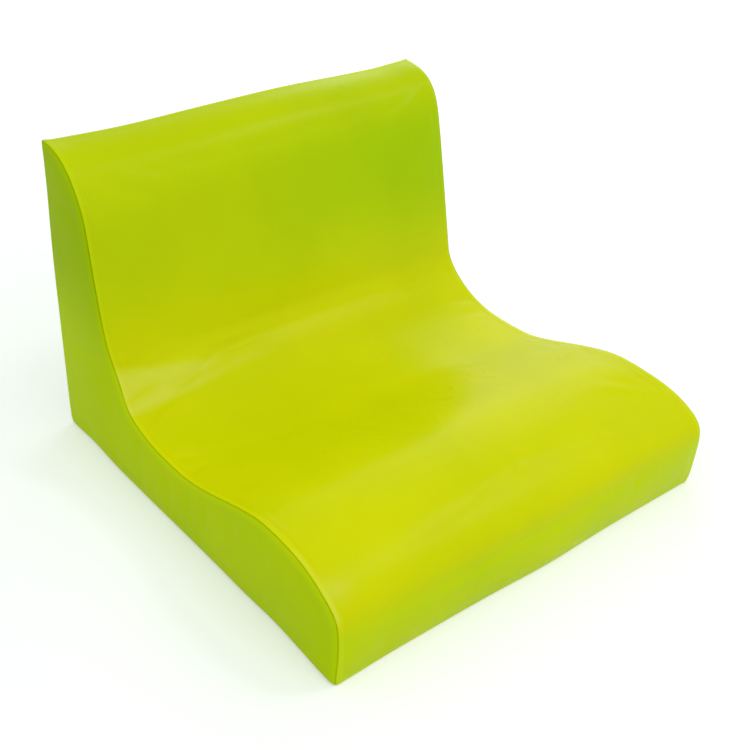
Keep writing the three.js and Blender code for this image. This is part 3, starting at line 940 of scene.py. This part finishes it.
# Cover, rear panels
# The rear is in two pieces, an upper and a lower one, whose hems fold in at the zip. The
# upper one is sewn to the main panel along the top rear edge.
hem_half = 5 * mm
rear_swell = 3.6 * mm
rear_top = chair_height - seam_inset - seam_gap
hem_roll = 1.2 * mm


def rear_place_between(low, high, low_is_hem, high_is_hem):
    def rear_place(x, z):
        inner = max(abs(x) - seam_half, 0)
        side_near = seam_half - abs(x)
        low_near, high_near = z - low, high - z
        over = max(-low_near, -high_near, 0)
        bulge = swelling(side_near, 80 * mm)
        bulge *= swelling(low_near - 12 * mm, 80 * mm) if low_is_hem else 1
        bulge *= swelling(high_near, 80 * mm) if not high_is_hem else 0
        rise = rear_swell * bulge - rolled(side_near, seam_roll, seam_inset) - inner
        rise += hump(side_near, ridge_middle, ridge_width, 0.4 * mm)
        if low_is_hem:
            rise -= rolled(low_near, hem_roll, hem_roll)
            rise -= hump(low_near, 3 * mm, 1.2 * mm, 0.35 * mm)
        else:
            rise -= rolled(low_near, foot_roll, foot_draw)
        if high_is_hem:
            rise -= rolled(high_near, hem_roll, hem_roll)
            rise -= hump(high_near, 3 * mm, 1.2 * mm, 0.35 * mm)
        else:
            rise += hump(high_near, ridge_middle, ridge_width, 0.4 * mm)
            rise -= rolled(high_near, seam_roll, seam_inset)
        if side_near < pucker_reach:
            rise += pucker(z, 0.8)
        rise -= 0.9 * over
        sign = 1 if x > 0 else -1
        x_place = min(abs(x), seam_half) - 0.9 * inner
        if not low_is_hem:
            x_place -= rolled(low_near, edge_roll, edge_draw) * bell(max(side_near, 0), 0, 16 * mm)
        height = min(max(z, low), high)
        place = Vector((sign * x_place, rear_plane + rise, height))
        near = min(side_near, high_near + (1.2 * mm if high_is_hem else 0), low_near + 1.2 * mm)
        return as_it_sits(place), max(near, 0)
    return rear_place


rear_vinyl = coated_cloth(
    "green rear cloth", plain(188, 209, 0), (plain(184, 208, 0), plain(184, 208, 0)),
    plain(190, 210, 0), 0.3, 0.05,
)
zip_rows = [
    ("upper", zip_height + hem_half, rear_top, True, False),
    ("lower", bottom_lift, zip_height - hem_half, False, True),
]
for name, low, high, low_is_hem, high_is_hem in zip_rows:
    rear_shape = bmesh.new()
    sewn_panel(
        rear_shape, places_between(-seam_half, seam_half), places_between(low, high),
        rear_place_between(low, high, low_is_hem, high_is_hem),
    )
    bmesh.ops.reverse_faces(rear_shape, faces=rear_shape.faces)
    finish_panel(
        "cover_rear_" + name, rear_shape, rear_vinyl, "cover_rear_panel_" + name,
        12 * mm, 1.6 * mm, 2.5,
    )


# Cover, base panel
# A flat sheet of matt cloth with a grippy back, sewn to the cover all round just above the
# floor, with its edge turned up into the seam.
base_cloth, base_tree, base_place, base_shader, _ = mottled_material(
    "grippy base cloth", plain(143, 153, 41), 14.0, 0.06,
)

# Threads that pass over and under each other, as a height, and a colour darker where the weave
# sinks, painted shade between the threads
weave, taken, given = new_group(
    "plain weave",
    [("Place", "Vector", None), ("Threads", "Float", 900.0),
     ("Colour", "Color", (0.5, 0.5, 0.5, 1))],
    [("Height", "Float"), ("Colour", "Color")],
)
warp, weft = (
    add_node(weave, "TexWave", {
        "Vector": taken["Place"], "Scale": taken["Threads"], "Distortion": 0.6,
    }, bands_direction=direction).outputs["Fac"]
    for direction in "XZ"
)
crossed = maths(weave, "MAXIMUM", warp, weft)
weave.links.new(crossed, given["Height"])
# Painted shade: the colour is darker where the threads sink
weave_light = add_node(weave, "MapRange", {"Value": crossed, "To Min": 0.6, "To Max": 1.05})
woven = scaled(weave, taken["Colour"], weave_light.outputs[0])
weave.links.new(woven, given["Colour"])

base_dots = add_node(base_tree, "TexVoronoi", {
    "Vector": base_place, "Scale": 300.0, "Randomness": 0.15,
}).outputs["Distance"]
set_inputs(base_tree, base_shader, {
    "Roughness": 0.85, "Specular IOR Level": 0.25,
    "Normal": raised(base_tree, base_dots, 0.5, 0.3 * mm, invert=True),
})

base_front = front_shift + 3 * mm + foot_draw
base_rear = rear_plane - foot_draw
base_half = seam_half - edge_draw


def base_place_at(x, y):
    edge = min(base_half - abs(x), y - base_front, base_rear - y)
    lift = 0.15 * mm + rolled(edge, 5 * mm, bottom_lift)
    return as_it_sits(Vector((x, y, lift))), 20 * mm


base_shape = bmesh.new()
sewn_panel(
    base_shape,
    places_between(-base_half, base_half, tucked=False),
    places_between(base_front, base_rear, tucked=False),
    base_place_at,
)
bmesh.ops.reverse_faces(base_shape, faces=base_shape.faces)
base_panel = finish_piece(
    "cover_base", base_shape, base_cloth, replaced=["cover_base_panel"],
)
give_thickness(base_panel, 1.0 * mm)


# Seam thread and zip stitching
# Polyester thread. The side seams are sewn through both panels deep in the fold, and a row of
# stitches runs along each side of the zip to hold its tape to the hem.
thread_material, thread_tree, thread_place, thread_shader, thread_colour = mottled_material(
    "sewing thread", plain(158, 178, 20), 60.0, 0.05,
)
thread_twist = add_node(thread_tree, "TexWave", {
    "Vector": thread_place, "Scale": 900.0, "Distortion": 1.0,
}, bands_direction="DIAGONAL").outputs["Fac"]
# Painted shade: the thread is darker in the grooves of its twist
thread_light = add_node(thread_tree, "MapRange", {
    "Value": thread_twist, "To Min": 0.75, "To Max": 1.1,
})
set_inputs(thread_tree, thread_shader, {
    "Base Color": scaled(thread_tree, thread_colour, thread_light.outputs[0]),
    "Roughness": 0.6, "Normal": raised(thread_tree, thread_twist, 0.5, 0.1 * mm),
})
stitch_length = 3.2 * mm
stitch_pitch = 3.9 * mm
stitch_half = 0.4 * mm


def sew(shape, start, end, detail):
    """One stitch: a short fat thread from start to end, thinner at its ends."""
    along = end - start
    made = bmesh.ops.create_icosphere(shape, subdivisions=detail, radius=1.0)
    bmesh.ops.scale(shape, verts=made["verts"], vec=(along.length / 2, stitch_half, stitch_half))
    turn = along.to_track_quat("X", "Z").to_matrix()
    bmesh.ops.rotate(shape, verts=made["verts"], matrix=turn)
    bmesh.ops.translate(shape, verts=made["verts"], vec=(start + end) / 2)


def points_along(path, pitch):
    """Points a pitch apart along a path."""
    steps = np.linalg.norm(np.diff(path, axis=0), axis=1)
    run = np.concatenate([[0], np.cumsum(steps)])
    count = int(run[-1] / pitch)
    wanted = np.linspace(0, run[-1], count + 1)
    return [Vector([np.interp(at, run, path[:, axis]) for axis in range(3)]) for at in wanted]


def repeat(shape, pitch, count):
    """Fills a row along X with count copies of the shape, a pitch apart, by doubling it."""
    made = 1
    while made < count:
        wanted = min(made, count - made)
        if wanted < made:
            kept = set(shape.verts[:len(shape.verts) * wanted // made])
        else:
            kept = set(shape.verts)
        items = list(kept)
        items += [edge for edge in shape.edges if all(v in kept for v in edge.verts)]
        items += [face for face in shape.faces if all(v in kept for v in face.verts)]
        copied = bmesh.ops.duplicate(shape, geom=items)["geom"]
        moved = [item for item in copied if isinstance(item, bmesh.types.BMVert)]
        bmesh.ops.translate(shape, verts=moved, vec=(pitch * made, 0, 0))
        made += wanted


thread_inset = 3.1 * mm
thread_runs = np.linspace(4 * mm, outline_length - 3 * mm, 300)
seam_ring = [
    tuple(point - outward * thread_inset)
    for point, outward in (outline_at(run) for run in thread_runs)
]
seam_ring += [(side_rear - 0.8 * mm, rear_top - 3 * mm), (side_rear - 0.8 * mm, 5 * mm)]
for name, sign in (("left", -1), ("right", 1)):
    seam_shape = bmesh.new()
    ring = np.array([(sign * (seam_half - 2.6 * mm), y + front_shift, z) for y, z in seam_ring])
    knots = [as_it_sits(knot) for knot in points_along(ring, 1.3 * stitch_pitch)]
    for start, end in zip(knots, knots[1:]):
        sew(seam_shape, start.lerp(end, 0.06), start.lerp(end, 0.94), 1)
    finish_piece(
        "side_seam_stitches_" + name, seam_shape, thread_material,
        replaced=["side_seam_thread_" + name],
    )

stitch_row = 8 * mm
stitch_end = 287 * mm
for name, sign in (("upper", 1), ("lower", -1)):
    row_shape = bmesh.new()
    height = zip_height + sign * stitch_row
    start = Vector((-stitch_end, rear_plane - 0.05 * mm, height))
    sew(row_shape, start, start + Vector((stitch_length, 0, 0)), 2)
    repeat(row_shape, stitch_pitch, int(2 * stitch_end / stitch_pitch))
    finish_piece(
        "zip_stitches_" + name, row_shape, thread_material,
        replaced=["zip_stitching_" + name],
    )


# Zip tapes
# Two strips of woven polyester tape, one sewn behind each hem, that carry the coils. Their
# ends are caught in the side seams.
tape_material, tape_tree, tape_place, tape_shader = new_material("woven zip tape")
tape_weave = use_group(tape_tree, weave, {
    "Place": tape_place, "Threads": 420.0, "Colour": plain(148, 166, 28),
})
set_inputs(tape_tree, tape_shader, {
    "Base Color": tape_weave["Colour"], "Roughness": 0.8,
    "Normal": raised(tape_tree, tape_weave["Height"], 0.6, 0.2 * mm),
})
tape_past_cut = 4.4 * mm
for name in ("upper", "lower"):
    low, high = (Vector(corner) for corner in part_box("zip_tape_" + name))
    low.x -= tape_past_cut
    high.x += tape_past_cut
    tape_shape = bmesh.new()
    bmesh.ops.create_grid(tape_shape, x_segments=180, y_segments=8, size=0.5)
    for corner in tape_shape.verts:
        across_share, up_share = corner.co.x + 0.5, corner.co.y + 0.5
        outer_share = up_share if name == "upper" else 1 - up_share
        ripple = 0.04 * mm * sin(across_share * 210) * outer_share
        corner.co = (
            low.x + (high.x - low.x) * across_share,
            high.y - 0.05 * mm - abs(ripple),
            low.z + (high.z - low.z) * up_share,
        )
    bmesh.ops.reverse_faces(tape_shape, faces=tape_shape.faces)
    tape = finish_piece(
        "zip_tape_" + name + "_woven", tape_shape, tape_material,
        replaced=["zip_tape_" + name],
    )
    give_thickness(tape, high.y - low.y - 0.1 * mm)


# Zip coils
# Nylon wire wound into a flat coil along the edge of each tape. The turns of one coil grip
# the turns of the other while the zip is closed.
coil_material, _, _, coil_shader, _ = mottled_material(
    "nylon coil", plain(130, 147, 18), 120.0, 0.05,
)
coil_shader.inputs["Roughness"].default_value = 0.35
coil_pitch = 1.3 * mm
wire_radius = 0.3 * mm
steps_per_turn = 8
for name in ("upper", "lower"):
    low, high = (Vector(corner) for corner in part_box("zip_coil_" + name))
    middle = (low + high) / 2
    turns = round((high.x - low.x) / coil_pitch) - 1
    half_width = (high.z - low.z) / 2 - wire_radius
    half_depth = (high.y - low.y) / 2 - wire_radius
    coil_shape = bmesh.new()
    section = bmesh.ops.create_circle(coil_shape, segments=6, radius=wire_radius, cap_ends=False)
    for axis in "YZ":
        quarter = Matrix.Rotation(pi / 2, 3, axis)
        bmesh.ops.rotate(coil_shape, verts=section["verts"], cent=(0, 0, 0), matrix=quarter)
    bmesh.ops.translate(coil_shape, verts=section["verts"], vec=(0, 0, half_width))
    bmesh.ops.spin(
        coil_shape, geom=coil_shape.verts[:] + coil_shape.edges[:],
        cent=(0, 0, 0), axis=(1, 0, 0), dvec=(coil_pitch / steps_per_turn, 0, 0),
        angle=2 * pi, steps=steps_per_turn, use_duplicate=False,
    )
    repeat(coil_shape, coil_pitch, turns)
    bmesh.ops.scale(coil_shape, verts=coil_shape.verts, vec=(1, half_depth / half_width, 1))
    bmesh.ops.translate(
        coil_shape, verts=coil_shape.verts, vec=(low.x + wire_radius, middle.y, middle.z),
    )
    bmesh.ops.remove_doubles(coil_shape, verts=coil_shape.verts, dist=0.01 * mm)
    bmesh.ops.holes_fill(coil_shape, edges=coil_shape.edges, sides=6)
    bmesh.ops.recalc_face_normals(coil_shape, faces=coil_shape.faces)
    finish_piece(
        "zip_coil_" + name + "_turns", coil_shape, coil_material,
        replaced=["zip_coil_" + name],
    )


# Zip stops, slider and pull tab
# Small nickel-plated castings and pressings. The slider's two plates run in front of and
# behind the coils, and the tab hangs on the bridge over its front plate.
metal_material, metal_tree, metal_place, metal_shader, _ = mottled_material(
    "nickel plate", plain(214, 213, 208), 300.0, 0.06,
)
metal_marks = add_node(metal_tree, "TexNoise", {
    "Vector": metal_place, "Scale": 600.0, "Detail": 5.0,
})
metal_wear = add_node(metal_tree, "MapRange", {
    "Value": metal_marks.outputs["Fac"], "To Min": 0.18, "To Max": 0.42,
})
set_inputs(metal_tree, metal_shader, {"Roughness": metal_wear.outputs[0], "Metallic": 1.0})


def softened_casting(node, name, body, radius):
    """The CAD node's shape with its edges rounded."""
    shape = bmesh.new()
    shape.from_mesh(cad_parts[node].data)
    bmesh.ops.remove_doubles(shape, verts=shape.verts, dist=0.005 * mm)
    bmesh.ops.dissolve_limit(
        shape, angle_limit=radians(1), verts=shape.verts, edges=shape.edges,
    )
    sharp = [
        edge for edge in shape.edges
        if len(edge.link_faces) == 2 and edge.calc_face_angle() > radians(30)
    ]
    soften(shape, sharp, radius, 2)
    piece = finish_piece(name, shape, metal_material, body, [node])
    piece.data.set_sharp_from_angle(angle=radians(35))
    return piece


for node, body, radius in (
    ("zip_end_stop", "chair", 0.3 * mm), ("zip_top_stop_upper", "chair", 0.3 * mm),
    ("zip_top_stop_lower", "chair", 0.3 * mm), ("zip_slider", "slider", 0.15 * mm),
    ("zip_pull_tab", "pull_tab", 0.22 * mm),
):
    softened_casting(node, node + "_nickel", body, radius)
